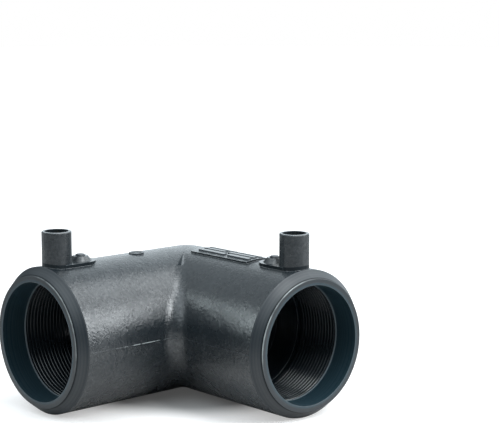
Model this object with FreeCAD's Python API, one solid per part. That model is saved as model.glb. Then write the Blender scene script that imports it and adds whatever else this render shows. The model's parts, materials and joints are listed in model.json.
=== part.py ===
import FreeCAD, Part
import math
import os

# Equal 90 degree elbow with two welding sockets, lying flat on its side.
# The two socket axes cross at the bend centre. Socket B points along +X and socket A along -Y.
# Everything is modelled about the bend centre, then moved so that the elbow rests on z = 0.
# A depth is measured inwards from a socket's mouth, a height outwards from a socket's axis.
# All lengths are in millimetres.

# Outside of the moulded body, whose wall is measured from the pipe's outside
centre_to_mouth = 82.0
wall = 6.6
crotch_radius = 7.0

# Mouth of each socket: a flat face and a chamfer out to the full outside radius
face_width = 2.65
chamfer_depth = 4.4

# Bore of each socket, for a pipe of this radius
pipe_radius = 25.0
entry_clearance = 0.55
fusion_clearance = 0.35
inner_clearance = 0.2
fusion_start = 11.2
fusion_length = 24.0
step_bevel = 0.6
stop_depth = 49.0

# Waterway behind the pipe stops
waterway_radius = 21.5

# Covered heating wire, wound turn beside turn in a recess of each socket, open to the bore
# A thin link joins the two windings, and thin leads join them to the contact pins
# The link cuts the corner of the bend, and all thin wires start a little inside a winding
winding_start = 12.15
winding_depth = 1.15
winding_margin = 0.05
thin_radius = 0.25
thin_cover = 0.1
thin_root = 0.5
link_corner = 12.0

# Terminal on top of each socket: a moulded shroud round a contact pin
terminal_depth = 11.2
shroud_radius = 6.35
shroud_bore_radius = 5.1
shroud_height = 14.7
shroud_floor = 1.7
rim_chamfer = 0.3
pin_radius = 2.0
pin_recess = 3.2
pin_tip_chamfer = 0.5
shank_radius = 2.7
shank_length = 4.0
tail_radius = 0.6
tail_cover = 0.2

# Fusion indicator beside each terminal
indicator_depth = 23.3
plate_half_width = 6.6
plate_height = 0.8
boss_base_radius = 4.9
boss_top_radius = 3.2
boss_height = 2.0
indicator_radius = 2.1
indicator_clearance = 0.05
indicator_stand = 0.7
indicator_chamfer = 0.5
indicator_cover = 1.0

# Label pad on socket B, with plain raised bars
pad_near = 11.7
pad_far = 48.5
pad_half_width = 6.9
pad_height = 0.8
bar_rows = 3
bar_height = 0.35
bar_width = 1.9
bar_margin = 2.0
bar_split = 0.45
bar_gap = 2.2

# Round gate mark on socket A
gate_distance = 28.4
gate_radius = 3.35
gate_dish_radius = 2.4
gate_height = 0.45

# How far a cutting or carrying solid runs past the surface that it meets
overrun = 1.0

# Level bands in the surface of the rounded crotch, and spans of each arc in it
crotch_bands = 2
corner_spans = 2

# Radii and places that follow from the sizes above
body_radius = pipe_radius + wall
entry_radius = pipe_radius + entry_clearance
fusion_radius = pipe_radius + fusion_clearance
inner_radius = pipe_radius + inner_clearance
face_radius = entry_radius + face_width
recess_radius = fusion_radius + winding_depth
fusion_end = fusion_start + fusion_length
recess_start = winding_start - winding_margin
winding_end = fusion_end - winding_margin
thin_level = recess_radius - thin_cover - thin_radius
terminal_place = centre_to_mouth - terminal_depth
indicator_place = centre_to_mouth - indicator_depth
rim_level = body_radius + shroud_height
floor_level = body_radius + shroud_floor
plate_level = body_radius + plate_height
boss_level = plate_level + boss_height

up = FreeCAD.Vector(0, 0, 1)
bend_centre = FreeCAD.Vector(0, 0, 0)
mirror_normal = FreeCAD.Vector(1, 1, 0)


def point(x, y, z=0.0):
    return FreeCAD.Vector(x, y, z)


def at_depth(depth):
    return centre_to_mouth - depth


def to_socket_a(shape):
    """The same shape on the other arm: the elbow is alike on both sides of its diagonal plane."""
    return shape.mirror(bend_centre, mirror_normal)


def closed_face(edges):
    return Part.Face(Part.Wire(edges))


def polygon_face(points):
    return Part.Face(Part.makePolygon(points + [points[0]]))


def turned_about_axis(face):
    """Turn a face in the XZ plane about the axis of socket B."""
    return face.revolve(bend_centre, point(1, 0, 0), 360)


def turned_about_vertical(profile, place):
    """Turn (radius, height) points about the vertical line at a distance along socket B."""
    face = polygon_face([point(place + radius, 0, height) for radius, height in profile])
    return face.revolve(point(place, 0), up, 360)


def arc_poles(centre, radius, first, last, spans):
    """Control points and weights of an arc, in equal spans, for a surface of second degree."""
    turn = (last - first) / spans
    weight = math.cos(turn / 2)
    poles = [(point(math.cos(first), math.sin(first)) * radius + centre, 1.0)]
    for span in range(spans):
        middle = first + turn * (span + 0.5)
        end = first + turn * (span + 1)
        poles.append((point(math.cos(middle), math.sin(middle)) * (radius / weight) + centre, weight))
        poles.append((point(math.cos(end), math.sin(end)) * radius + centre, 1.0))
    return poles


def corner_face(plan, profile, radius, spans):
    """Sweep a level arc so that it shrinks off the middle plane as the round bars do."""
    poles = [[point(a.x * b.x, a.y * b.x, radius * b.y) for b, w in profile] for a, v in plan]
    weights = [[v * w for b, w in profile] for a, v in plan]
    knots = list(range(spans + 1))
    repeats = [3] + [2] * (spans - 1) + [3]
    surface = Part.BSplineSurface()
    surface.buildFromPolesMultsKnots(poles, repeats, repeats, knots, knots, False, False, 2, 2, weights)
    return surface


def corner_solid(centre, corner_radius, radius, bands):
    """Crotch between two round bars of one radius, from an arc that touches both bars' sides.

    The level section at every height is that arc drawn smaller, so the corner stays tangent to
    both bars from the middle plane to the top and the bottom, where it dies out.
    """
    quarter = math.pi / 2
    plan = arc_poles(centre, corner_radius, quarter, 2 * quarter, corner_spans)
    band = 2 * quarter / bands
    faces = []
    rims = [[], []]
    for step in range(bands):
        low = step * band - quarter
        profile = arc_poles(bend_centre, 1.0, low, low + band, corner_spans)
        surface = corner_face(plan, profile, radius, corner_spans)
        faces.append(surface.toShape())
        rims[0].append(surface.uIso(0).toShape())
        rims[1].append(surface.uIso(corner_spans).toShape())
    spine = Part.makeLine(up * radius, up * -radius)
    faces.extend(closed_face(rim + [spine]) for rim in rims)
    shell = Part.makeShell(faces)
    shell.sewShape()
    return Part.makeSolid(shell)


def heel_ball(radius):
    """Quarter of a ball about the bend centre, which carries both bars round the heel."""
    ball = Part.makeSphere(radius, bend_centre, up, -90, 90, 90)
    ball.rotate(bend_centre, up, 90)
    return ball


def upright_slab(outline, half_height):
    """Block of a level outline, as far above the socket axes as below them."""
    return polygon_face([p - up * half_height for p in outline]).extrude(up * 2 * half_height)


def bent_bars(bar, radius, reach, crotch):
    """Two round bars that meet at the bend centre, with a rounded crotch and a ball at the heel."""
    wide = radius + overrun
    outline = [
        bend_centre,
        point(radius + crotch, -radius) * (wide / radius),
        point(reach, -wide),
        point(reach, wide),
        point(0, wide),
    ]
    arm_b = bar.common(upright_slab(outline, wide))
    corner = corner_solid(point(radius + crotch, -radius - crotch), crotch, radius, crotch_bands)
    return arm_b.fuse([corner, to_socket_a(arm_b), heel_ball(radius)])


def outer_bar():
    """Arm B as turned stock, with the flat face and the chamfer of its mouth."""
    outline = [
        (centre_to_mouth, 0.0),
        (centre_to_mouth, face_radius),
        (at_depth(chamfer_depth), body_radius),
        (-overrun, body_radius),
        (-overrun, 0.0),
    ]
    return turned_about_axis(polygon_face([point(x, 0, radius) for x, radius in outline]))


def socket_bore():
    """Entry, fusion zone with the recess for the winding, inner zone, and the pipe stop."""
    steps = [
        (-overrun, 0.0),
        (-overrun, entry_radius),
        (fusion_start, entry_radius),
        (fusion_start + step_bevel, fusion_radius),
        (recess_start, fusion_radius),
        (recess_start, recess_radius),
        (fusion_end, recess_radius),
        (fusion_end, inner_radius),
        (stop_depth, inner_radius),
        (stop_depth, 0.0),
    ]
    return turned_about_axis(polygon_face([point(at_depth(depth), 0, radius) for depth, radius in steps]))


def waterway():
    """Two straight bores that meet in a mitre, whose outer corner is cut off to keep the wall."""
    reach = at_depth(stop_depth) + overrun
    wide = waterway_radius + overrun
    corner = (body_radius - wall) / math.sqrt(2)
    bar = Part.makeCylinder(waterway_radius, reach + wide, point(-wide, 0), point(1, 0, 0))
    outline = [
        bend_centre,
        point(wide, -wide),
        point(reach, -wide),
        point(reach, wide),
        point(wide - 2 * corner, wide),
        point(-corner, corner),
    ]
    arm_b = bar.common(upright_slab(outline, wide))
    return arm_b.fuse(to_socket_a(arm_b))


def shroud():
    """Round tube with a floor, on top of arm B."""
    foot_level = body_radius - overrun
    profile = [
        (0.0, foot_level),
        (shroud_radius, foot_level),
        (shroud_radius, rim_level - rim_chamfer),
        (shroud_radius - rim_chamfer, rim_level),
        (shroud_bore_radius, rim_level),
        (shroud_bore_radius, floor_level),
        (0.0, floor_level),
    ]
    return turned_about_vertical(profile, terminal_place)


def contact_pin():
    """Turned pin: tip, thick shank held by the shroud's foot, and the tail that meets the wire."""
    tip_level = rim_level - pin_recess
    shank_level = floor_level - shank_length
    tail_level = entry_radius + tail_cover
    profile = [
        (0.0, tail_level),
        (tail_radius, tail_level),
        (tail_radius, shank_level),
        (shank_radius, shank_level),
        (shank_radius, floor_level),
        (pin_radius, floor_level),
        (pin_radius, tip_level - pin_tip_chamfer),
        (pin_radius - pin_tip_chamfer, tip_level),
        (0.0, tip_level),
    ]
    return turned_about_vertical(profile, terminal_place)


def indicator_base():
    """Thin plate from the shroud's foot to the indicator, and the tapered boss on it."""
    foot_level = body_radius - overrun
    corner = point(indicator_place, -plate_half_width, foot_level)
    length = terminal_place - indicator_place
    thickness = plate_level - foot_level
    plate = Part.makeBox(length, 2 * plate_half_width, thickness, corner)
    end = Part.makeCylinder(plate_half_width, thickness, point(indicator_place, 0, foot_level))
    foot = point(indicator_place, 0, plate_level)
    boss = Part.makeCone(boss_base_radius, boss_top_radius, boss_height, foot)
    return plate.fuse([end, boss])


def indicator_hole():
    """Blind hole down through the boss, with a thin floor of body left over the winding."""
    foot_level = recess_radius + indicator_cover
    depth = boss_level + overrun - foot_level
    radius = indicator_radius + indicator_clearance
    return Part.makeCylinder(radius, depth, point(indicator_place, 0, foot_level))


def indicator_pin():
    """Plain pin in the boss, with a chamfered head that stands just above it."""
    foot_level = recess_radius + indicator_cover
    head_level = boss_level + indicator_stand
    profile = [
        (0.0, foot_level),
        (indicator_radius, foot_level),
        (indicator_radius, head_level - indicator_chamfer),
        (indicator_radius - indicator_chamfer, head_level),
        (0.0, head_level),
    ]
    return turned_about_vertical(profile, indicator_place)


def raised_on_arm(blank, height):
    """Trim an upright blank so that it stands an even height above arm B."""
    carrier = Part.makeCylinder(body_radius + height, centre_to_mouth, bend_centre, point(1, 0, 0))
    return blank.common(carrier)


def arm_blank(near, far, low, high):
    """Upright blank through the top wall of arm B, higher than anything raised on it."""
    foot_level = body_radius - pad_half_width
    size_up = pad_half_width + overrun + pad_height + bar_height
    return Part.makeBox(far - near, high - low, size_up, point(near, low, foot_level))


def label_pad():
    """Pad and rows of plain bars, each row in two parts."""
    solids = [raised_on_arm(arm_blank(pad_near, pad_far, -pad_half_width, pad_half_width), pad_height)]
    first = pad_near + bar_margin
    last = pad_far - bar_margin
    row_pitch = 2 * (pad_half_width - bar_margin) / bar_rows
    for row in range(bar_rows):
        middle = (row - (bar_rows - 1) / 2) * row_pitch
        split = first + (last - first) * (bar_split if row % 2 else 1 - bar_split)
        for near, far in ((first, split - bar_gap / 2), (split + bar_gap / 2, last)):
            blank = arm_blank(near, far, middle - bar_width / 2, middle + bar_width / 2)
            solids.append(raised_on_arm(blank, pad_height + bar_height))
    return solids


def gate_mark():
    """Low round mark on top of arm A, dished in the middle."""
    place = point(0, -gate_distance, body_radius - overrun)
    disc = Part.makeCylinder(gate_radius, overrun + gate_height, place)
    dish = Part.makeCylinder(gate_dish_radius, gate_height, place + up * (overrun + gate_height / 2))
    return disc.cut(dish)


def elbow_body():
    """The moulded body: outside forms fused, then the bores and the seats of its inner pieces cut."""
    outside = bent_bars(outer_bar(), body_radius, centre_to_mouth, crotch_radius)
    fittings_b = [shroud(), indicator_base()]
    fittings_a = [to_socket_a(shape) for shape in fittings_b]
    solid = outside.fuse(fittings_b + fittings_a + label_pad() + [gate_mark()])
    bore_b = socket_bore()
    hollow = waterway().fuse([bore_b, to_socket_a(bore_b)])
    seats_b = [contact_pin(), indicator_hole()]
    seats_a = [to_socket_a(shape) for shape in seats_b]
    return solid.cut(hollow).cut(seats_b + seats_a + [thin_wires()])


def winding():
    """The turns of socket B side by side, as one sleeve from their crests out to the recess."""
    length = winding_end - winding_start
    start = point(at_depth(winding_end), 0)
    sleeve = Part.makeCylinder(recess_radius, length, start, point(1, 0, 0))
    return sleeve.cut(Part.makeCylinder(fusion_radius, length, start, point(1, 0, 0)))


def lead():
    """Thin wire from the first turn of socket B to the tail of its contact pin."""
    root = at_depth(winding_start) - thin_root
    start = point(root, 0, thin_level)
    return Part.makeCylinder(thin_radius, terminal_place - root, start, point(1, 0, 0))


def link_wire():
    """Thin wire along the top wall, from one winding's deep end to the other's."""
    far = at_depth(winding_end) + thin_root
    route = [
        point(far, 0, thin_level),
        point(link_corner, 0, thin_level),
        point(0, -link_corner, thin_level),
        point(0, -far, thin_level),
    ]
    section = Part.Wire([Part.makeCircle(thin_radius, route[0], point(1, 0, 0))])
    return Part.makePolygon(route).makePipeShell([section], True, False, 1)


def thin_wires():
    return link_wire().fuse([lead(), to_socket_a(lead())])


def heating_wire():
    """Both windings with their link and leads, cut off where the leads meet the pins' tails."""
    coil_b = winding()
    pins = [contact_pin(), to_socket_a(contact_pin())]
    return coil_b.fuse([thin_wires(), to_socket_a(coil_b)]).cut(pins)


def save(shape, node):
    place = (centre_to_mouth - body_radius) / 2
    moved = shape.copy()
    moved.translate(point(-place, place, body_radius))
    moved.exportStep(os.path.join("parts", node + ".step"))
    box = moved.BoundBox
    print(node, len(moved.Solids), "solids", "valid", moved.isValid(), "volume", round(moved.Volume, 1),
          "box", [round(v, 2) for v in (box.XMin, box.XMax, box.YMin, box.YMax, box.ZMin, box.ZMax)])


os.makedirs("parts", exist_ok=True)
save(elbow_body(), "elbow_body")
save(heating_wire(), "heating_wire")
for name, build in (("contact_pin", contact_pin), ("fusion_indicator", indicator_pin)):
    on_socket_b = build()
    save(to_socket_a(on_socket_b), name + "_a")
    save(on_socket_b, name + "_b")
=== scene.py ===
import json
import math
from collections import namedtuple

import bpy
from mathutils import Matrix, Vector


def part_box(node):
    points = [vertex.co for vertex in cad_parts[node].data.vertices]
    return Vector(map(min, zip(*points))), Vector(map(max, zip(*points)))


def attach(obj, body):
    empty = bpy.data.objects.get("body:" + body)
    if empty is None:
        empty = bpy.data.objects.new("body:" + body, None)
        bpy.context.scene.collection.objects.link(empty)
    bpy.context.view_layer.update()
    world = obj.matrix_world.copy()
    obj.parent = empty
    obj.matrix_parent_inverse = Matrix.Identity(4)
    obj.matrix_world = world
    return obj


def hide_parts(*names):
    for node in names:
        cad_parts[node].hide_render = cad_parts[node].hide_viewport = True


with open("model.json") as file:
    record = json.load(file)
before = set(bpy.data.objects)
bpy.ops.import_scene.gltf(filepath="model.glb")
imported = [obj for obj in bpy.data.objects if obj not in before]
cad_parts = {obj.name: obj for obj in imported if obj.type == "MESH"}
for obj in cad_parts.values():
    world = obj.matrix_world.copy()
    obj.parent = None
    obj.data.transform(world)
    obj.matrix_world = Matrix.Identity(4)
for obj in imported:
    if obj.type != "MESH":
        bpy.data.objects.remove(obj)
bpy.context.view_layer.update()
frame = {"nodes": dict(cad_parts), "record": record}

bl_info = {
    "name": "Elbow Finish",
    "version": (1, 0, 0),
    "blender": (4, 5, 0),
    "location": "View3D > Sidebar > Elbow",
    "description": "Gives a moulded pipe elbow its plastic, wound wire, parting line and studio",
    "category": "Object",
}

# Places of the elbow, read from the frame. The two socket axes cross at the bend centre.
mounts = {mount["name"]: mount for mount in frame["record"]["mounts"]}
mouth_a = Vector(mounts["socket_a"]["pos_m"])
mouth_b = Vector(mounts["socket_b"]["pos_m"])
bend = Vector((mouth_a.x, mouth_b.y, mouth_a.z))
reach = mouth_b.x - bend.x
crest_radius = mounts["socket_b"]["dims"]["r_mm"] / 1000
body_radius = bend.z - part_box("elbow_body")[0].z
recess_radius = bend.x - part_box("heating_wire")[0].x
terminal_depth = mouth_b.x - mounts["contact_pin_b"]["pos_m"][0]

# Socket B's own space, moved to its place, and the same mirrored on to socket A
on_socket_b = Matrix.Translation(bend)
on_socket_a = on_socket_b @ Matrix(((0, -1, 0, 0), (-1, 0, 0, 0), (0, 0, 1, 0), (0, 0, 0, 1)))

full_turn = 2 * math.pi
same_point = 1e-6  # points nearer than this, in metres, are one point
plastic_ior = 1.52


class WindingSettings(bpy.types.PropertyGroup):
    turns: bpy.props.IntProperty(
        name="Turns", description="Turns of covered wire in each socket", default=12, min=1)
    pitch: bpy.props.FloatProperty(
        name="Pitch", description="Distance from turn to turn",
        default=0.00172, precision=5, unit="LENGTH")
    first_turn: bpy.props.FloatProperty(
        name="First turn", description="Depth of the first turn at the top of the socket",
        default=0.01297, precision=5, unit="LENGTH")
    cover_width: bpy.props.FloatProperty(
        name="Cover width", description="Width of the covered wire along the socket",
        default=0.00164, precision=5, unit="LENGTH")
    cover_rounding: bpy.props.FloatProperty(
        name="Cover rounding", description="Radius at the sides of the covered wire",
        default=0.00036, precision=5, unit="LENGTH")
    bed_start: bpy.props.FloatProperty(
        name="Bed start", description="Depth at which the bed of the winding starts",
        default=0.01216, precision=5, unit="LENGTH")
    bed_end: bpy.props.FloatProperty(
        name="Bed end", description="Depth at which the bed of the winding ends",
        default=0.03514, precision=5, unit="LENGTH")
    bed_drop: bpy.props.FloatProperty(
        name="Bed drop", description="How far the bed lies behind the crests of the turns",
        default=0.00052, precision=5, unit="LENGTH")
    band_drop: bpy.props.FloatProperty(
        name="Band drop", description="How far the plain bands at both ends lie behind the crests",
        default=0.0001, precision=5, unit="LENGTH")
    thin_radius: bpy.props.FloatProperty(
        name="Thin wire radius", description="Radius of the link and the leads",
        default=0.00025, precision=5, unit="LENGTH")
    thin_cover: bpy.props.FloatProperty(
        name="Thin wire cover",
        description="Left between the thin wires and the wall of the recess",
        default=0.0001, precision=5, unit="LENGTH")
    link_corner: bpy.props.FloatProperty(
        name="Link corner", description="Distance from the bend centre at which the link turns",
        default=0.012, precision=4, unit="LENGTH")
    lead_gap: bpy.props.FloatProperty(
        name="Lead gap", description="Distance from the axis of each pin to the end of its lead",
        default=0.0006, precision=5, unit="LENGTH")
    wall_gap: bpy.props.FloatProperty(
        name="Wall gap", description="Left between the rings and the wall of the recess",
        default=0.00002, precision=5, unit="LENGTH")
    steps: bpy.props.IntProperty(
        name="Steps", description="Faces round one turn", default=96, min=24)


class PartingLineSettings(bpy.types.PropertyGroup):
    width: bpy.props.FloatProperty(
        name="Width", description="Width of the parting line at its foot",
        default=0.00036, precision=5, unit="LENGTH")
    height: bpy.props.FloatProperty(
        name="Height", description="Height of the parting line above the moulding",
        default=0.00016, precision=5, unit="LENGTH")
    crotch_radius: bpy.props.FloatProperty(
        name="Crotch radius", description="Radius of the moulding between the arms",
        default=0.007, precision=4, unit="LENGTH")
    mouth_margin: bpy.props.FloatProperty(
        name="Mouth margin", description="Length of the turned mouth, where the line is cut away",
        default=0.0046, precision=4, unit="LENGTH")


class PlasticSettings(bpy.types.PropertyGroup):
    colour: bpy.props.FloatVectorProperty(
        name="Moulded colour", description="Colour of the moulded skin",
        subtype="COLOR", default=(0.0095, 0.0135, 0.0165))
    worn_colour: bpy.props.FloatVectorProperty(
        name="Rubbed colour", description="Colour where the skin is rubbed or dusty",
        subtype="COLOR", default=(0.021, 0.026, 0.030))
    turned_colour: bpy.props.FloatVectorProperty(
        name="Turned colour", description="Colour of the turned faces at the mouths",
        subtype="COLOR", default=(0.008, 0.0135, 0.0185))
    # Painted shade: the bore walls, the waterway and the deep turns of the wire get this colour,
    # darker than the skin, for the shade deep in the bores
    deep_shade_colour: bpy.props.FloatVectorProperty(
        name="Wire cover colour", description="Colour of the cover of the wire",
        subtype="COLOR", default=(0.005, 0.009, 0.013))
    # The entry's own turned tone, and in part painted light: it is painted lighter than the turned
    # faces for the light that reaches into each bore
    entry_colour: bpy.props.FloatVectorProperty(
        name="Entry colour", description="Colour of the turned entry of each bore",
        subtype="COLOR", default=(0.011, 0.028, 0.038))
    # Edges: partly rubbed wear and partly painted highlight. Step in each bore: painted highlight
    edge_wear_and_glint_colour: bpy.props.FloatVectorProperty(
        name="Edge colour", description="Colour of rubbed edges and of the step in each bore",
        subtype="COLOR", default=(0.14, 0.165, 0.18))
    # Painted shade: the groove behind each flat face is painted near black for the shade in it
    groove_shade_colour: bpy.props.FloatVectorProperty(
        name="Groove colour", description="Colour of the dark groove behind each flat face",
        subtype="COLOR", default=(0.001, 0.002, 0.003))
    grain: bpy.props.FloatProperty(
        name="Grain", description="Size of the fine grain of the skin",
        default=0.0012, precision=5, unit="LENGTH")
    mottle: bpy.props.FloatProperty(
        name="Mottle", description="Size of the soft unevenness of the skin",
        default=0.0055, precision=4, unit="LENGTH")
    chamfer_depth: bpy.props.FloatProperty(
        name="Chamfer depth", description="Length of the turned chamfer at each mouth",
        default=0.0044, precision=4, unit="LENGTH")
    entry_depth: bpy.props.FloatProperty(
        name="Entry depth", description="Depth of the entry of each bore, up to its step",
        default=0.0112, precision=4, unit="LENGTH")
    face_width: bpy.props.FloatProperty(
        name="Face width", description="Width of the flat face round each mouth",
        default=0.00265, precision=4, unit="LENGTH")
    # Painted highlight: colour of the glint on the rims of the flat faces and on the flash of arm
    # A
    painted_glint_colour: bpy.props.FloatVectorProperty(
        name="Bright colour", description="Colour of the brightest rubbed edges",
        subtype="COLOR", default=(0.3, 0.33, 0.33))
    edge_radius: bpy.props.FloatProperty(
        name="Edge radius", description="How far edges look rounded",
        default=0.00022, precision=5, unit="LENGTH")
    mouth_edge_radius: bpy.props.FloatProperty(
        name="Mouth edge radius", description="How far edges of the turned mouths look rounded",
        default=0.0005, precision=5, unit="LENGTH")
    grain_relief: bpy.props.FloatProperty(
        name="Grain relief", description="Height of the grain on the arms",
        default=0.00018, precision=5, unit="LENGTH")
    fitting_relief: bpy.props.FloatProperty(
        name="Fitting relief", description="Height of the grain on shrouds, plates and pad",
        default=0.00003, precision=5, unit="LENGTH")
    mottle_relief: bpy.props.FloatProperty(
        name="Mottle relief", description="Height of the soft unevenness",
        default=0.00016, precision=5, unit="LENGTH")
    line_relief: bpy.props.FloatProperty(
        name="Line relief", description="Height of the parting line on the far sides",
        default=0.00006, precision=5, unit="LENGTH")
    ring_pitch: bpy.props.FloatProperty(
        name="Ring pitch", description="Distance between turning marks",
        default=0.0006, precision=5, unit="LENGTH")
    ring_relief: bpy.props.FloatProperty(
        name="Ring relief", description="Height of the turning marks",
        default=0.0000045, precision=6, unit="LENGTH")


class PinSettings(bpy.types.PropertyGroup):
    colour: bpy.props.FloatVectorProperty(
        name="Brass colour", description="Colour of clean brass",
        subtype="COLOR", default=(0.72, 0.52, 0.23))
    dull_colour: bpy.props.FloatVectorProperty(
        name="Tarnished colour", description="Colour of tarnished brass",
        subtype="COLOR", default=(0.42, 0.29, 0.13))
    ring_pitch: bpy.props.FloatProperty(
        name="Ring pitch", description="Size of the marks that the tool left",
        default=0.0009, precision=5, unit="LENGTH")
    ring_relief: bpy.props.FloatProperty(
        name="Ring relief", description="Height of the marks that the tool left",
        default=0.000006, precision=6, unit="LENGTH")
    tarnish: bpy.props.FloatProperty(
        name="Tarnish", description="Size of the tarnished spots",
        default=0.0015, precision=5, unit="LENGTH")
    edge_radius: bpy.props.FloatProperty(
        name="Edge radius", description="How far edges look rounded",
        default=0.00008, precision=5, unit="LENGTH")


class StudioSettings(bpy.types.PropertyGroup):
    floor_colour: bpy.props.FloatVectorProperty(
        name="Floor colour", description="Colour of the floor", subtype="COLOR",
        default=(0.58, 0.565, 0.555))
    lens: bpy.props.FloatProperty(
        name="Lens", description="Focal length on a sensor 36 mm wide", default=116.41,
        unit="CAMERA")
    azimuth: bpy.props.FloatProperty(
        name="Azimuth", description="Side from which the camera looks",
        default=math.radians(48.064), unit="ROTATION")
    elevation: bpy.props.FloatProperty(
        name="Elevation", description="Height from which the camera looks",
        default=math.radians(8.775), unit="ROTATION")
    distance: bpy.props.FloatProperty(
        name="Distance", description="Distance of the camera from the bend centre along its view",
        default=0.73287, precision=4, unit="LENGTH")
    right_shift: bpy.props.FloatProperty(
        name="Right of bend",
        description="How far the camera stands to the right of the bend centre",
        default=0.02859, precision=4, unit="LENGTH")
    up_shift: bpy.props.FloatProperty(
        name="Above bend",
        description="How far the camera stands above the bend centre, across its view",
        default=0.04669, precision=4, unit="LENGTH")
    floor_radius: bpy.props.FloatProperty(
        name="Floor radius", description="Radius of the floor", default=3.0, unit="LENGTH")
    floor_gap: bpy.props.FloatProperty(
        name="Floor gap", description="How far the floor lies under the elbow",
        default=0.00002, precision=5, unit="LENGTH")


def deselect_all():
    if bpy.context.object and bpy.context.object.mode != "OBJECT":
        bpy.ops.object.mode_set(mode="OBJECT")
    bpy.ops.object.select_all(action="DESELECT")


def select_only(*pieces):
    deselect_all()
    for piece in pieces:
        piece.select_set(True)
    bpy.context.view_layer.objects.active = pieces[0]


def edit_all(piece):
    """Open one piece for editing with all of it selected."""
    select_only(piece)
    bpy.ops.object.mode_set(mode="EDIT")
    bpy.ops.mesh.select_all(action="SELECT")


def leave_edit():
    bpy.ops.object.mode_set(mode="OBJECT")


def apply_place(piece):
    select_only(piece)
    bpy.ops.object.transform_apply(location=True, rotation=True, scale=True)


def join(pieces, name):
    select_only(*pieces)
    bpy.ops.object.join()
    joined = bpy.context.object
    joined.name = name
    joined.data.name = name
    return joined


def turn_outwards(piece):
    """Merge doubled points and turn every face outwards."""
    edit_all(piece)
    bpy.ops.mesh.remove_doubles(threshold=same_point)
    bpy.ops.mesh.normals_make_consistent(inside=False)
    leave_edit()


def smooth(piece, degrees):
    select_only(piece)
    bpy.ops.object.shade_smooth_by_angle(angle=math.radians(degrees))


def carry(piece, material):
    """Give a finished piece its material and let it ride on the fitting."""
    piece.data.materials.clear()
    piece.data.materials.append(material)
    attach(piece, "root")


def dress_node(name, material):
    """Put a material on a node that comes from the frame."""
    node = frame["nodes"][name]
    if not node.material_slots:
        raise RuntimeError("node %s has no material slot" % name)
    for material_slot in node.material_slots:
        material_slot.material = material


def link_or_set(tree, socket, value):
    """Feed one input with an output or a value, and give a plain colour its alpha."""
    if isinstance(value, bpy.types.NodeSocket):
        tree.links.new(value, socket)
    elif socket.type == "RGBA" and len(value) == 3:
        socket.default_value = (*value, 1.0)
    else:
        socket.default_value = value


def add_node(tree, kind, options=None, **inputs):
    """Add a shader node, set its options, and feed its inputs with values or outputs."""
    node = tree.nodes.new(kind)
    for option, value in (options or {}).items():
        setattr(node, option, value)
    for name, value in inputs.items():
        link_or_set(tree, node.inputs[name.replace("_", " ")], value)
    return node


def calc(tree, operation, first, second=0.0, third=0.0):
    """One step of arithmetic between outputs or numbers."""
    node = add_node(tree, "ShaderNodeMath", {"operation": operation})
    for socket, value in zip(node.inputs, (first, second, third)):
        link_or_set(tree, socket, value)
    return node.outputs[0]


def product(tree, first, *others):
    """Product of some shares or numbers. Of shares, it is 1 only where each of them is 1."""
    for other in others:
        first = calc(tree, "MULTIPLY", first, other)
    return first


def either(tree, first, *others):
    """The largest of some shares."""
    for other in others:
        first = calc(tree, "MAXIMUM", first, other)
    return first


def without(tree, share):
    """1 where a share is 0, and 0 where it is 1."""
    return calc(tree, "SUBTRACT", 1.0, share)


def above(tree, value, limit):
    return calc(tree, "GREATER_THAN", value, limit)


def below(tree, value, limit):
    return calc(tree, "LESS_THAN", value, limit)


def spread(tree, share, width, start):
    """A number that lies above its start by a share of its width."""
    return calc(tree, "MULTIPLY_ADD", share, width, start)


def compare(tree, operation, first, second):
    """Dot product of two directions, or distance between two places."""
    node = add_node(tree, "ShaderNodeVectorMath", {"operation": operation})
    for socket, value in zip(node.inputs, (first, second)):
        link_or_set(tree, socket, value)
    return node.outputs["Value"]


def blend(tree, kind, sockets, share, first, second):
    """Go from the first to the second as the share goes from 0 to 1."""
    node = add_node(tree, "ShaderNodeMix", {"data_type": kind})
    for socket, value in zip(sockets, (share, first, second)):
        link_or_set(tree, node.inputs[socket], value)
    return node


def blend_values(tree, share, first, second):
    return blend(tree, "FLOAT", (0, 2, 3), share, first, second).outputs[0]


def blend_vectors(tree, share, first, second):
    return blend(tree, "VECTOR", (0, 4, 5), share, first, second).outputs[1]


def blend_colours(tree, share, first, second):
    return blend(tree, "RGBA", (0, 6, 7), share, first, second).outputs[2]


def fade(tree, value, low, high):
    """Share from 0 to 1 as a value goes from low to high."""
    node = add_node(tree, "ShaderNodeMapRange", {"interpolation_type": "SMOOTHSTEP"},
                    Value=value, From_Min=low, From_Max=high)
    return node.outputs[0]


def noise(tree, vector, size, detail=2.0, roughness=0.5):
    node = add_node(tree, "ShaderNodeTexNoise", {"noise_dimensions": "3D"},
                    Vector=vector, Scale=1 / size, Detail=detail, Roughness=roughness)
    return node.outputs["Fac"]


def object_place(tree):
    return add_node(tree, "ShaderNodeTexCoord").outputs["Object"]


def new_material(name):
    material = bpy.data.materials.new(name)
    material.use_nodes = True
    tree = material.node_tree
    tree.nodes.clear()
    shader = tree.nodes.new("ShaderNodeBsdfPrincipled")
    output = tree.nodes.new("ShaderNodeOutputMaterial")
    tree.links.new(shader.outputs[0], output.inputs["Surface"])
    return material, tree, shader


def new_plastic(name):
    material, tree, shader = new_material(name)
    shader.inputs["IOR"].default_value = plastic_ior
    return material, tree, shader


def feed(tree, shader, **outputs):
    for name, output in outputs.items():
        tree.links.new(output, shader.inputs[name.replace("_", " ")])


def round_edges(tree, radius, samples=6):
    """Normal of a surface with softened edges."""
    return add_node(tree, "ShaderNodeBevel", {"samples": samples}, Radius=radius).outputs[0]


def relief(tree, height, edge_radius=0.0):
    """Normal of a surface whose height is given in metres, with softened edges where asked."""
    bump = add_node(tree, "ShaderNodeBump", Height=height, Strength=1.0, Distance=1.0)
    if edge_radius:
        tree.links.new(round_edges(tree, edge_radius), bump.inputs["Normal"])
    return bump.outputs[0]


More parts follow.
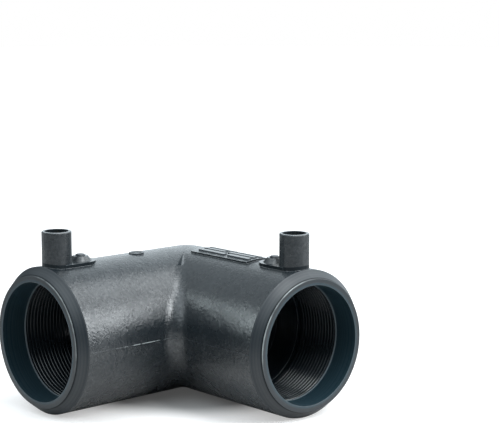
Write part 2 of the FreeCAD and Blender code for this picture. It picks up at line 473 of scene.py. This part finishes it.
# Limits between the regions of the moulded body, in metres unless a comment says otherwise
crest_margin = 0.0004  # from the crests out to the flat face
face_middle = 0.0015  # from the crests out to the middle of the flat face
entry_margin = 0.0002  # from the crests out to the wall of the entry
bore_start = 0.005  # from the bend centre to the start of each bore
bend_wall = 0.003  # from the outside of the bend in to its hollow
step_middle = 0.0003  # from the end of the entry to the middle of its step
step_width = (0.0002, 0.0004)  # each way from the middle of the step
groove_start = 0.0002  # behind the flat face
groove_end = (0.0003, 0.0008)  # behind the flat face
rim_highlight_start = (0.00045, 0.0002)  # inside the edge of the flat face
rim_highlight_facing = (0.8, 0.6)  # inwards and upwards, the side where the rim gets its painted highlight
rim_highlight_share = (0.5, 1.0)  # of that direction, from no painted highlight to a full one
line_width = (0.00008, 0.00022)  # each way from the parting plane
line_margin = 0.001  # from the recess out to the far sides of the arms
fitting_rise = 0.0001  # above the arms, where shrouds, plates and pad begin
fitting_height = 0.86  # share of the outside radius above which they stand
gate_reach = 0.05  # along arm A, up to the gate mark
pad_height = 0.0016  # above the arms, up to the top of the label pad
top_normal = 0.93  # upward share of the normal of a level top
side_normal = 0.5  # upward share of the normal below which a face is a side
edge_cosine = (0.86, 0.985)  # softened against plain normal, from an edge to none


class SocketFields:
    """Distances from the two socket axes and along them, as outputs of one material."""

    def __init__(self, tree):
        self.tree = tree
        self.place = object_place(tree)
        x, y, z = add_node(tree, "ShaderNodeSeparateXYZ", Vector=self.place).outputs
        self.from_bend_x = calc(tree, "SUBTRACT", x, bend.x)
        self.from_bend_y = calc(tree, "SUBTRACT", y, bend.y)
        self.height = calc(tree, "SUBTRACT", z, bend.z)
        self.radius_b = self.length(self.from_bend_y, self.height)
        self.radius_a = self.length(self.from_bend_x, self.height)
        self.along_b = self.from_bend_x
        self.along_a = calc(tree, "MULTIPLY", self.from_bend_y, -1.0)
        self.farther = calc(tree, "MAXIMUM", self.along_a, self.along_b)

    def length(self, first, second):
        squares = calc(self.tree, "MULTIPLY", first, first)
        return calc(self.tree, "SQRT", calc(self.tree, "MULTIPLY_ADD", second, second, squares))


class BodyRegions(SocketFields):
    """Where each kind of surface of the moulded body lies, as shares from 0 to 1."""

    def __init__(self, tree, plastic):
        super().__init__(tree)
        self.arm_b = above(tree, self.along_b, self.along_a)
        self.radius = blend_values(tree, self.arm_b, self.radius_a, self.radius_b)
        self.along = blend_values(tree, self.arm_b, self.along_a, self.along_b)
        self.find_mouths(plastic)
        self.find_bores(plastic)
        self.find_line()
        self.find_normals(plastic)
        self.find_fittings()

    def find_mouths(self, plastic):
        """Turned end of each arm, the groove behind its flat face, and the painted highlight on
        the rim.
        """
        tree = self.tree
        self.turned = above(tree, self.farther, reach - plastic.chamfer_depth)
        outside = above(tree, self.radius, crest_radius + crest_margin)
        self.near_mouth = product(tree, self.turned, outside)
        self.rim = product(
            tree, self.near_mouth, above(tree, self.radius, crest_radius + face_middle))
        behind_face = calc(tree, "SUBTRACT", reach, self.along)
        # Where the groove lies; its colour and gloss are lowered there as painted shade
        self.groove = product(
            tree, without(tree, fade(tree, behind_face, *groove_end)),
            above(tree, behind_face, groove_start), outside)
        inner_side = blend_values(tree, self.arm_b, self.from_bend_x, self.along_a)
        upper = calc(tree, "MULTIPLY", self.height, rim_highlight_facing[1])
        inwards = calc(tree, "MULTIPLY_ADD", inner_side, rim_highlight_facing[0], upper)
        inwards = calc(tree, "DIVIDE", inwards, self.radius)
        face_radius = crest_radius + entry_margin + plastic.face_width
        start, full = (face_radius - distance for distance in rim_highlight_start)
        # Painted highlight inside the edge of each flat face, on the side that faces inwards and
        # up
        self.rim_highlight = product(
            tree, fade(tree, self.radius, start, full), self.turned,
            below(tree, behind_face, groove_start), fade(tree, inwards, *rim_highlight_share))

    def find_bores(self, plastic):
        """Walls of the bores and of the waterway, the entry of each bore and its step."""
        tree = self.tree
        within = product(
            tree, below(tree, self.radius, recess_radius), above(tree, self.along, bore_start))
        from_bend = self.length(self.radius_a, self.from_bend_y)
        self.inside = either(tree, within, below(tree, from_bend, body_radius - bend_wall))
        self.machined = either(tree, self.near_mouth, self.inside)
        entry_end = reach - plastic.entry_depth
        self.entry = product(tree, self.inside, above(tree, self.along, entry_end))
        from_step = calc(tree, "SUBTRACT", entry_end - step_middle, self.along)
        from_step = calc(tree, "ABSOLUTE", from_step)
        # Band round the step, which gets a painted highlight
        self.step = product(
            tree, without(tree, fade(tree, from_step, *step_width)), self.inside)

    def find_line(self):
        """Parting line on the far sides, where no ridge is modelled."""
        tree = self.tree
        from_plane = calc(tree, "ABSOLUTE", self.height)
        outwards = calc(
            tree, "MAXIMUM", self.from_bend_y, calc(tree, "MULTIPLY", self.from_bend_x, -1.0))
        self.line = product(
            tree, without(tree, fade(tree, from_plane, *line_width)),
            above(tree, outwards, recess_radius + line_margin), without(tree, self.turned))

    def find_normals(self, plastic):
        """Normal with softened edges, how far it turns from the plain one, and upward share."""
        tree = self.tree
        softening = blend_values(
            tree, self.near_mouth, plastic.edge_radius, plastic.mouth_edge_radius)
        self.softened = round_edges(tree, softening, samples=8)
        straight = add_node(tree, "ShaderNodeNewGeometry").outputs["Normal"]
        alike = compare(tree, "DOT_PRODUCT", self.softened, straight)
        self.edge = without(tree, fade(tree, alike, *edge_cosine))
        self.upwards = add_node(tree, "ShaderNodeSeparateXYZ", Vector=straight).outputs[2]

    def find_fittings(self):
        """Shrouds, plates, label pad and gate mark on top of the arms."""
        tree = self.tree
        self.fitting = product(
            tree, above(tree, self.radius, body_radius + fitting_rise),
            above(tree, self.height, body_radius * fitting_height))
        beyond_gate = above(tree, self.along, gate_reach)
        self.level_top = product(
            tree, self.fitting, above(tree, self.upwards, top_normal),
            either(tree, self.arm_b, beyond_gate))
        self.gate_mark = product(
            tree, self.fitting, below(tree, self.along, gate_reach), without(tree, self.arm_b))
        # Low sides of the pad and plates; their gloss is lowered as painted shade
        self.pad_side = product(
            tree, below(tree, self.upwards, side_normal),
            below(tree, self.radius, body_radius + pad_height), self.fitting)


# Looks of the moulded body. A pair of roughness or gloss is its width and its lowest value.
patch_mottles = 5  # size of the rubbed patches, in mottles
patch_fade = (0.45, 0.75)  # of their noise, from plain skin to a rubbed patch
patch_share = 0.6  # how far a patch takes the colour of rubbed skin
edge_share = (0.5, 0.4)  # how light the edges are, partly rubbed wear and partly painted highlight, on the skin and at the rim
rim_breaks = (0.2, 0.75)  # of the mottle, from a gap in the painted rim highlight to a full one
skin_roughness = (0.2, 0.165)
ring_roughness = (0.18, 0.34)
top_roughness = 0.22
skin_gloss = (1.1, 0.24)
ring_gloss = (0.9, 0.09)
dull_gloss = 0.15
exported_gloss = 0.78  # for an export that leaves out a linked gloss


def body_colour(tree, plastic, regions, mottle, ring_lines):
    """Colour of skin and turned faces, with painted shade in the bores and groove, a partly
    painted highlight on the edges, and painted highlights on the step and rim.
    """
    patches = noise(tree, regions.place, plastic.mottle * patch_mottles)
    rubbed = product(
        tree, fade(tree, patches, *patch_fade),
        blend_values(tree, regions.fitting, patch_share, 0.0))
    skin_colour = blend_colours(tree, rubbed, plastic.colour, plastic.worn_colour)
    turned_colour = blend_colours(tree, ring_lines, plastic.turned_colour, plastic.colour)
    # Edges are lighter, partly as rubbed wear and partly as painted highlight, and the step gets a
    # painted highlight
    edge_wear_and_highlight = product(
        tree, regions.edge, blend_values(tree, regions.rim, *edge_share),
        without(tree, regions.groove))
    worn_edges_and_highlights = either(tree, edge_wear_and_highlight, regions.step)
    # The painted rim highlight, broken up by the mottle
    rim_highlight = product(tree, regions.rim_highlight, fade(tree, mottle, *rim_breaks))
    colour = blend_colours(tree, regions.near_mouth, skin_colour, turned_colour)
    # Over the skin go painted shade in the bores, the entry's own tone partly painted light, edges
    # partly rubbed and partly painted highlight, painted shade in the groove and a painted
    # highlight on the rim
    for share, layer in (
            (regions.inside, plastic.deep_shade_colour),
            (regions.entry, plastic.entry_colour),
            (worn_edges_and_highlights, plastic.edge_wear_and_glint_colour),
            (regions.groove, plastic.groove_shade_colour),
            (rim_highlight, plastic.painted_glint_colour)):
        colour = blend_colours(tree, share, colour, layer)
    return colour


def body_normal(tree, plastic, regions, grain, mottle, ring_lines):
    """Normal with softened edges and relief, quite level on the tops of plates and pad."""
    grain_relief = blend_values(
        tree, regions.fitting, plastic.grain_relief, plastic.fitting_relief)
    skin = product(tree, grain, grain_relief)
    skin = calc(tree, "MULTIPLY_ADD", mottle, plastic.mottle_relief, skin)
    skin = calc(tree, "MULTIPLY_ADD", regions.line, plastic.line_relief, skin)
    rings = product(tree, ring_lines, plastic.ring_relief)
    height = blend_values(tree, regions.machined, skin, rings)
    plain = blend_vectors(tree, regions.level_top, regions.softened, (0, 0, 1))
    bump = add_node(tree, "ShaderNodeBump",
                    Height=height, Strength=1.0, Distance=1.0, Normal=plain)
    return bump.outputs[0]


def body_material(plastic):
    """Moulded skin on the arms, turned faces at the mouths, and smooth bores."""
    material, tree, shader = new_plastic("moulded_polyethylene")
    regions = BodyRegions(tree, plastic)
    grain = noise(tree, regions.place, plastic.grain, detail=2.5, roughness=0.65)
    mottle = noise(tree, regions.place, plastic.mottle, detail=3.0, roughness=0.55)
    rings = add_node(tree, "ShaderNodeCombineXYZ", X=regions.radius, Y=regions.along)
    ring_lines = noise(tree, rings.outputs[0], plastic.ring_pitch, detail=3.0, roughness=0.6)

    roughness = blend_values(
        tree, regions.machined, spread(tree, mottle, *skin_roughness),
        spread(tree, ring_lines, *ring_roughness))
    roughness = blend_values(tree, regions.level_top, roughness, top_roughness)
    gloss = blend_values(
        tree, regions.machined, spread(tree, grain, *skin_gloss),
        spread(tree, ring_lines, *ring_gloss))
    # Less gloss in the groove and on the low sides of the pad and plates is painted shade; the
    # gate mark is duller too
    dull = either(tree, regions.groove, regions.gate_mark, regions.pad_side)
    gloss = blend_values(tree, dull, gloss, dull_gloss)

    shader.inputs["Specular IOR Level"].default_value = exported_gloss
    feed(tree, shader, Roughness=roughness, Specular_IOR_Level=gloss,
         Base_Color=body_colour(tree, plastic, regions, mottle, ring_lines),
         Normal=body_normal(tree, plastic, regions, grain, mottle, ring_lines))
    return material


# The small pieces, with sizes in metres and roughness as its width and its lowest value
indicator_grain = 0.0005
indicator_relief = 0.000005
indicator_edge = 0.0001
indicator_dust = (0.45, 0.8)  # of a wider noise, from clean to dusty
indicator_roughness = (0.15, 0.28)
brass_stretch = (0.15, 0.15, 6.0)  # of the noise, which makes rings of it
brass_tarnish = (0.4, 0.75)  # of another noise, from clean to tarnished
brass_roughness = (0.3, 0.16)


def indicator_material(plastic):
    """Fine moulded plastic of the fusion indicators, dusty here and there."""
    material, tree, shader = new_plastic("indicator_plastic")
    place = object_place(tree)
    fine = noise(tree, place, indicator_grain)
    wide = noise(tree, place, 4 * indicator_grain)
    dusty = fade(tree, wide, *indicator_dust)
    colour = blend_colours(tree, dusty, plastic.turned_colour, plastic.worn_colour)
    feed(tree, shader, Base_Color=colour, Roughness=spread(tree, fine, *indicator_roughness),
         Normal=relief(tree, product(tree, fine, indicator_relief), indicator_edge))
    return material


# The cover of the wire, with heights from the socket axis and sizes in metres
cover_grain = 0.0006
cover_relief = 0.000002
cover_upper = (-0.012, 0.004)  # heights from the smoother lower to the upper side
cover_roughness = (0.13, 0.2)  # of the lower and the upper side
cover_unevenness = 0.06  # of the roughness
cover_middle = 0.001  # height at which the turns are dimmest
cover_dimming = (0.004, 0.015)  # up and down from there, from dimmest to full gloss
cover_dimmest = 0.35  # share of the gloss that is left at the middle
cover_gloss = (0.05, 0.85)  # at the stop and at the entry of the socket


def wire_material(plastic):
    """Glossy cover of the wire, duller towards the stop and at half height of each socket, and
    painted darker towards the stop: painted shade.
    """
    material, tree, shader = new_plastic("wire_cover")
    fields = SocketFields(tree)
    fine = noise(tree, fields.place, cover_grain)
    outer = fade(tree, fields.farther, body_radius, reach - plastic.entry_depth)
    upper = fade(tree, fields.height, *cover_upper)
    from_middle = calc(tree, "SUBTRACT", fields.height, cover_middle)
    away = fade(tree, calc(tree, "ABSOLUTE", from_middle), *cover_dimming)
    # The gloss fades towards the stop and dips at half height of each socket, and the colour
    # darkens towards the stop: painted shade
    shine = product(tree, outer, blend_values(tree, away, cover_dimmest, 1.0))
    gloss = blend_values(tree, shine, *cover_gloss)
    smoothness = blend_values(tree, upper, *cover_roughness)
    roughness = spread(tree, fine, cover_unevenness, smoothness)
    feed(tree, shader, Roughness=roughness, Specular_IOR_Level=gloss,
         Base_Color=blend_colours(tree, outer, plastic.deep_shade_colour, plastic.colour),
         Normal=relief(tree, product(tree, fine, cover_relief)))
    return material


# The flash of the mould, with sizes and distances from the bend centre in metres. Its bright
# stretches are a painted glint.
flash_breaks = 0.004  # size of its bright and dark stretches
flash_relief = 0.00002
flash_glint_fade = (0.44, 0.56)  # of the noise, from dark to the painted glint
flash_start = (0.036, 0.044)  # along arm A, where the painted glint sets in
flash_end = (0.056, 0.066)  # along arm A, where it dies away
flash_roughness = (0.2, 0.2)  # its width and its lowest value


def ridge_material(plastic):
    """Thin flash of the mould, with a painted glint here and there along arm A."""
    material, tree, shader = new_plastic("mould_flash")
    fields = SocketFields(tree)
    breaks = noise(tree, fields.place, flash_breaks, detail=3.0, roughness=0.6)
    bright = product(
        tree, fade(tree, breaks, *flash_glint_fade), fade(tree, fields.along_a, *flash_start),
        without(tree, fade(tree, fields.along_a, *flash_end)))
    feed(tree, shader, Roughness=spread(tree, breaks, *flash_roughness),
         Base_Color=blend_colours(tree, bright, plastic.worn_colour, plastic.painted_glint_colour),
         Normal=relief(tree, product(tree, breaks, flash_relief)))
    return material


def contact_metal_material(pins):
    """Turned brass with fine rings round the pin and tarnished spots."""
    material, tree, shader = new_material("turned_brass")
    place = object_place(tree)
    stretched = add_node(tree, "ShaderNodeMapping", Vector=place, Scale=brass_stretch)
    rings = noise(tree, stretched.outputs[0], pins.ring_pitch, detail=3.0)
    spots = noise(tree, place, pins.tarnish, detail=3.0)
    dull = fade(tree, spots, *brass_tarnish)
    colour = blend_colours(tree, dull, pins.colour, pins.dull_colour)
    feed(tree, shader, Base_Color=colour, Roughness=spread(tree, spots, *brass_roughness),
         Normal=relief(tree, product(tree, rings, pins.ring_relief), pins.edge_radius))
    shader.inputs["Metallic"].default_value = 1.0
    return material


def spin_ring(depth_from, depth_to, inner, outer, steps):
    """Closed ring about socket B's axis, in socket B's own space."""
    bpy.ops.mesh.primitive_plane_add(
        size=1, location=(reach - (depth_from + depth_to) / 2, 0, (inner + outer) / 2),
        rotation=(math.pi / 2, 0, 0))
    ring = bpy.context.object
    ring.scale = (depth_to - depth_from, outer - inner, 1)
    apply_place(ring)
    edit_all(ring)
    bpy.ops.mesh.delete(type="ONLY_FACE")
    bpy.ops.mesh.select_all(action="SELECT")
    bpy.ops.mesh.spin(steps=steps, angle=full_turn, center=(0, 0, 0), axis=(1, 0, 0))
    leave_edit()
    return ring


def wound_turns(winding):
    """All turns of covered wire as one helix of rounded section, in socket B's own space."""
    half_height = (recess_radius - crest_radius) / 2
    bpy.ops.mesh.primitive_plane_add(
        size=1, location=(reach - winding.first_turn, 0, crest_radius + half_height),
        rotation=(math.pi / 2, 0, 0))
    turns = bpy.context.object
    turns.scale = (winding.cover_width, 2 * half_height, 1)
    apply_place(turns)
    edit_all(turns)
    bpy.ops.mesh.bevel(affect="VERTICES", offset=winding.cover_rounding, segments=4)
    bpy.ops.mesh.delete(type="ONLY_FACE")
    leave_edit()
    screw = turns.modifiers.new("turns", "SCREW")
    screw.axis = "X"
    screw.angle = -full_turn
    screw.screw_offset = -winding.pitch
    screw.iterations = winding.turns
    screw.steps = winding.steps
    screw.render_steps = winding.steps
    screw.use_smooth_shade = True
    bpy.ops.object.modifier_apply(modifier=screw.name)
    edit_all(turns)
    bpy.ops.mesh.fill_holes(sides=0)
    leave_edit()
    return turns


def thin_wire(route, radius):
    """Round wire through a few points, with mitred turns."""
    path = bpy.data.curves.new("thin_wire", "CURVE")
    path.dimensions = "3D"
    path.bevel_depth = radius
    path.bevel_resolution = 2
    path.use_fill_caps = True
    spline = path.splines.new("POLY")
    spline.points.add(len(route) - 1)
    for spot, place in zip(spline.points, route):
        spot.co = (*place, 1)
    wire = bpy.data.objects.new("thin_wire", path)
    bpy.context.collection.objects.link(wire)
    select_only(wire)
    bpy.ops.object.convert(target="MESH")
    return bpy.context.object


# How the rings and wires of the winding reach into each other
bed_turns_short = 0.2  # turns by which the bed ends before the last turn does
start_band_share = 1 / 4  # of a pitch, from the bed's start to the end of the first band
band_overlap = 0.0001  # of the last band and the bed, in metres
link_overlap = 0.0005  # of the link and each winding, in metres


def thin_level(winding):
    """Distance of the link and the leads from the socket axis."""
    return recess_radius - winding.thin_cover - winding.thin_radius


def socket_winding(winding):
    """Bed, plain end bands, turns and lead of one socket, in socket B's own space."""
    bed_radius = crest_radius + winding.bed_drop
    band_radius = crest_radius + winding.band_drop
    outer = recess_radius - winding.wall_gap
    half_width = winding.cover_width / 2
    first_edge = winding.first_turn - half_width
    last_turn = winding.first_turn + (winding.turns - bed_turns_short) * winding.pitch
    last_edge = last_turn + half_width
    first_band_end = first_edge + winding.pitch * start_band_share
    level = thin_level(winding)
    lead = [
        (reach - winding.first_turn, 0, level),
        (reach - terminal_depth - winding.lead_gap, 0, level),
    ]
    return [
        wound_turns(winding),
        spin_ring(first_edge, last_edge, bed_radius, outer, winding.steps),
        spin_ring(winding.bed_start, first_band_end, band_radius, outer, winding.steps),
        spin_ring(last_edge - band_overlap, winding.bed_end, band_radius, outer, winding.steps),
        thin_wire(lead, winding.thin_radius),
    ]


def link_wire(winding):
    """Thin wire from winding to winding along the top wall, about the bend centre."""
    level = thin_level(winding)
    corner = winding.link_corner
    end = reach - winding.bed_end + link_overlap
    route = [(end, 0, level), (corner, 0, level), (0, -corner, level), (0, -end, level)]
    return thin_wire(route, winding.thin_radius)


def move_mesh(pieces, place):
    for piece in pieces:
        piece.data.transform(place)
    return pieces


class ELBOW_OT_heating_wire(bpy.types.Operator):
    """Wind the covered wire in both sockets, with its link and leads"""

    bl_idname = "elbow.heating_wire"
    bl_label = "Heating Wire"

    def execute(self, context):
        winding = context.scene.elbow_winding
        plastic = context.scene.elbow_plastic
        pieces = move_mesh(socket_winding(winding), on_socket_b)
        pieces += move_mesh(socket_winding(winding), on_socket_a)
        pieces += move_mesh([link_wire(winding)], on_socket_b)
        wire = join(pieces, "wound_heating_wire")
        turn_outwards(wire)
        smooth(wire, degrees=40)
        carry(wire, wire_material(plastic))
        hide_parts("heating_wire")
        return {"FINISHED"}


class ELBOW_OT_parting_line(bpy.types.Operator):
    """Run the thin raised line of the mould along both arms and round the crotch"""

    bl_idname = "elbow.parting_line"
    bl_label = "Parting Line"

    def execute(self, context):
        line = context.scene.elbow_parting_line
        start = reach - line.mouth_margin
        corner = body_radius + line.crotch_radius
        bpy.ops.mesh.primitive_circle_add(
            vertices=6, radius=0.5, fill_type="NGON",
            location=(start, -body_radius, 0), rotation=(0, math.pi / 2, 0))
        ridge = bpy.context.object
        ridge.scale = (line.width, 2 * line.height, 1)
        apply_place(ridge)
        edit_all(ridge)
        run = corner - start
        bpy.ops.mesh.extrude_region_move(TRANSFORM_OT_translate={"value": (run, 0, 0)})
        bpy.ops.mesh.spin(
            steps=24, angle=-math.pi / 2, center=(corner, -corner, 0), axis=(0, 0, 1))
        bpy.ops.mesh.extrude_region_move(TRANSFORM_OT_translate={"value": (0, run, 0)})
        leave_edit()
        move_mesh([ridge], on_socket_b)
        turn_outwards(ridge)
        smooth(ridge, degrees=60)
        ridge.name = ridge.data.name = "parting_line"
        carry(ridge, ridge_material(context.scene.elbow_plastic))
        return {"FINISHED"}


class ELBOW_OT_body(bpy.types.Operator):
    """Give the moulded body its plastic"""

    bl_idname = "elbow.body"
    bl_label = "Moulded Body"

    def execute(self, context):
        dress_node("elbow_body", body_material(context.scene.elbow_plastic))
        return {"FINISHED"}


class ELBOW_OT_contact_pins(bpy.types.Operator):
    """Give both contact pins their metal"""

    bl_idname = "elbow.contact_pins"
    bl_label = "Contact Pins"

    def execute(self, context):
        metal = contact_metal_material(context.scene.elbow_pins)
        for name in ("contact_pin_a", "contact_pin_b"):
            dress_node(name, metal)
        return {"FINISHED"}


class ELBOW_OT_indicators(bpy.types.Operator):
    """Give both fusion indicators their plastic"""

    bl_idname = "elbow.indicators"
    bl_label = "Fusion Indicators"

    def execute(self, context):
        material = indicator_material(context.scene.elbow_plastic)
        for name in ("fusion_indicator_a", "fusion_indicator_b"):
            dress_node(name, material)
        return {"FINISHED"}


def direction(azimuth, elevation):
    """Direction at an azimuth from -Y towards +X and a height above the floor, in radians."""
    across = math.cos(elevation)
    return Vector((
        math.sin(azimuth) * across, -math.cos(azimuth) * across, math.sin(elevation)))


def towards(azimuth, elevation):
    """The same direction from angles in degrees."""
    return direction(math.radians(azimuth), math.radians(elevation))


def view_axes(studio):
    """Right, up and back directions of the camera."""
    back = direction(studio.azimuth, studio.elevation)
    right = Vector((math.cos(studio.azimuth), math.sin(studio.azimuth), 0))
    return right, back.cross(right), back


def add_camera(studio):
    right, up, back = view_axes(studio)
    place = bend + back * studio.distance
    place = place + right * studio.right_shift + up * studio.up_shift
    bpy.ops.object.camera_add(location=place)
    camera = bpy.context.object
    camera.name = "photo_camera"
    turned = Matrix((right, up, back)).transposed().to_4x4()
    camera.matrix_world = Matrix.Translation(place) @ turned
    camera.data.sensor_width = 36
    camera.data.sensor_fit = "HORIZONTAL"
    camera.data.lens = studio.lens
    camera.data.clip_start = 0.01
    bpy.context.scene.camera = camera


# The floor, with distances in metres. White for the camera is a glow of 1.
white = (1.0, 1.0, 1.0)
far_colour = (0.3, 0.3, 0.3)
shadow_fade = (0.036, 0.066)  # from the bend centre, where the glow sets in
floor_fade = (0.11, 0.25)  # from the bend centre, from the near to the far floor
floor_glow = (0.46, 1.0)  # of the near and the far floor, for the camera
least_glow = 0.06  # under the elbow, for the camera
crotch_offset = 0.05  # from the bend centre along both arms
mirror_fade = (0.05, 0.1)  # from that place, where the painted glow that the elbow mirrors sets in
mirror_glow = (0.3, 0.1)  # of the near and the far floor: a painted reflection that the elbow mirrors


def floor_material(near_colour):
    """Floor with the shadow by the elbow, glowing white for the camera further out, and with a
    painted glow for reflections that fades out towards the crotch.
    """
    material, tree, shader = new_material("studio_floor")
    shader.inputs["Roughness"].default_value = 0.6
    shader.inputs["Specular IOR Level"].default_value = 0.2
    place = object_place(tree)
    from_bend = compare(tree, "DISTANCE", place, (bend.x, bend.y, 0))
    crotch = (bend.x + crotch_offset, bend.y - crotch_offset, 0)
    near = fade(tree, from_bend, *shadow_fade)
    far = fade(tree, from_bend, *floor_fade)
    lit = fade(tree, compare(tree, "DISTANCE", place, crotch), *mirror_fade)
    rays = add_node(tree, "ShaderNodeLightPath")
    seen = product(tree, near, blend_values(tree, far, *floor_glow))
    seen = product(tree, either(tree, seen, least_glow), rays.outputs["Is Camera Ray"])
    # Painted reflection: the floor glows for glossy rays, less near the crotch
    mirrored = product(tree, lit, blend_values(tree, far, *mirror_glow))
    strength = calc(tree, "MULTIPLY_ADD", mirrored, rays.outputs["Is Glossy Ray"], seen)
    glow = add_node(tree, "ShaderNodeEmission", Color=white, Strength=strength)
    feed(tree, shader, Base_Color=blend_colours(tree, far, near_colour, far_colour))
    both = add_node(tree, "ShaderNodeAddShader")
    tree.links.new(shader.outputs[0], both.inputs[0])
    tree.links.new(glow.outputs[0], both.inputs[1])
    tree.links.new(both.outputs[0], tree.nodes["Material Output"].inputs["Surface"])
    return material


def add_floor(studio):
    bpy.ops.mesh.primitive_circle_add(
        vertices=96, radius=studio.floor_radius, fill_type="NGON",
        location=(0, 0, -studio.floor_gap))
    floor = bpy.context.object
    floor.name = floor.data.name = "studio_floor"
    apply_place(floor)
    floor.data.materials.append(floor_material(studio.floor_colour))


# Each lamp's direction in degrees, distance and size in metres, brightness and colour
Softbox = namedtuple("Softbox", "name azimuth elevation distance width height radiance colour")
cool_white = (0.95, 1.0, 1.03)
cooler_white = (0.88, 1.0, 1.03)
softboxes = (
    Softbox("key_softbox", 100, 41, 1.1, 0.44, 0.5, 10.5, cool_white),
    Softbox("upper_softbox", 100, 62, 1.1, 0.4, 0.3, 5.0, cool_white),
    Softbox("top_softbox", 140, 82, 1.2, 0.62, 0.62, 5.0, cool_white),
    Softbox("right_softbox", 132, 21, 1.1, 0.5, 0.66, 6.5, cool_white),
    Softbox("back_softbox", 165, 48, 1.2, 0.75, 0.6, 2.9, cool_white),
    Softbox("left_softbox", -51, 21, 1.1, 0.4, 0.44, 4.8, cooler_white),
)
lamp_target = Vector((0, 0, 0.03))


def add_softbox(softbox):
    """Rectangular lamp that faces the elbow."""
    away = towards(softbox.azimuth, softbox.elevation)
    bpy.ops.object.light_add(type="AREA", location=away * softbox.distance + lamp_target)
    lamp = bpy.context.object
    lamp.name = lamp.data.name = softbox.name
    lamp.rotation_euler = away.to_track_quat("Z", "Y").to_euler()
    lamp.data.shape = "RECTANGLE"
    lamp.data.size = softbox.width
    lamp.data.size_y = softbox.height
    lamp.data.energy = softbox.radiance * math.pi * softbox.width * softbox.height
    lamp.data.color = softbox.colour


# The room: each wall's direction in degrees, and its fade from its edge to its middle
Wall = namedtuple("Wall", "azimuth elevation edge middle")
back_wall = Wall(-150, 12, 0.74, 0.93)
left_wall = Wall(-100, 20, 0.1, 0.75)
front_ceiling = Wall(4, 56, 0.72, 0.95)
ceiling_fade = (0.25, 0.65)  # of the upward direction
ceiling_glow = (0.2, 0.65)  # away from the left wall and at it
room_glow = 0.06
back_wall_glow = 1.6
front_ceiling_glow = 2.0
room_tint = (0.9, 1.0, 1.06)


def add_surroundings():
    """White for the camera, and a dim room with lighter walls for what mirrors in the elbow."""
    world = bpy.data.worlds.new("studio_room")
    bpy.context.scene.world = world
    world.use_nodes = True
    tree = world.node_tree
    tree.nodes.clear()
    ray = add_node(tree, "ShaderNodeTexCoord").outputs["Generated"]
    height = add_node(tree, "ShaderNodeSeparateXYZ", Vector=ray).outputs[2]

    def share(wall):
        middle = towards(wall.azimuth, wall.elevation)
        return fade(tree, compare(tree, "DOT_PRODUCT", ray, middle), wall.edge, wall.middle)

    ceiling = fade(tree, height, *ceiling_fade)
    brightness = blend_values(tree, share(left_wall), *ceiling_glow)
    room = spread(tree, ceiling, brightness, room_glow)
    room = either(tree, room, product(tree, share(back_wall), back_wall_glow),
                  product(tree, share(front_ceiling), front_ceiling_glow))
    seen = add_node(tree, "ShaderNodeLightPath").outputs["Is Camera Ray"]
    strength = blend_values(tree, seen, room, 1.0)
    tint = blend_colours(tree, seen, room_tint, white)
    background = add_node(tree, "ShaderNodeBackground", Color=tint, Strength=strength)
    output = add_node(tree, "ShaderNodeOutputWorld")
    tree.links.new(background.outputs[0], output.inputs["Surface"])


class ELBOW_OT_stage(bpy.types.Operator):
    """Set the floor, the lamps, the surroundings and the camera"""

    bl_idname = "elbow.stage"
    bl_label = "Studio"

    def execute(self, context):
        studio = context.scene.elbow_studio
        deselect_all()
        add_camera(studio)
        add_floor(studio)
        for softbox in softboxes:
            add_softbox(softbox)
        add_surroundings()
        bpy.context.scene.view_settings.view_transform = "Standard"
        return {"FINISHED"}


class ELBOW_PT_panel(bpy.types.Panel):
    """Buttons for each part of the elbow's finish"""

    bl_idname = "ELBOW_PT_panel"
    bl_label = "Elbow"
    bl_space_type = "VIEW_3D"
    bl_region_type = "UI"
    bl_category = "Elbow"

    def draw(self, context):
        for operator in operators:
            self.layout.operator(operator.bl_idname)
        for group in setting_groups:
            box = self.layout.box()
            settings = getattr(context.scene, group)
            for name in setting_groups[group].__annotations__:
                box.prop(settings, name)


operators = (
    ELBOW_OT_stage,
    ELBOW_OT_body,
    ELBOW_OT_heating_wire,
    ELBOW_OT_parting_line,
    ELBOW_OT_contact_pins,
    ELBOW_OT_indicators,
)

setting_groups = {
    "elbow_winding": WindingSettings,
    "elbow_parting_line": PartingLineSettings,
    "elbow_plastic": PlasticSettings,
    "elbow_pins": PinSettings,
    "elbow_studio": StudioSettings,
}


def register():
    for name, group in setting_groups.items():
        bpy.utils.register_class(group)
        setattr(bpy.types.Scene, name, bpy.props.PointerProperty(type=group))
    for operator in operators:
        bpy.utils.register_class(operator)
    bpy.utils.register_class(ELBOW_PT_panel)


def unregister():
    bpy.utils.unregister_class(ELBOW_PT_panel)
    for operator in reversed(operators):
        bpy.utils.unregister_class(operator)
    for name, group in setting_groups.items():
        delattr(bpy.types.Scene, name)
        bpy.utils.unregister_class(group)


def main():
    register()
    bpy.ops.elbow.stage()
    bpy.ops.elbow.body()
    bpy.ops.elbow.heating_wire()
    bpy.ops.elbow.parting_line()
    bpy.ops.elbow.contact_pins()
    bpy.ops.elbow.indicators()


if __name__ == "__main__":
    main()
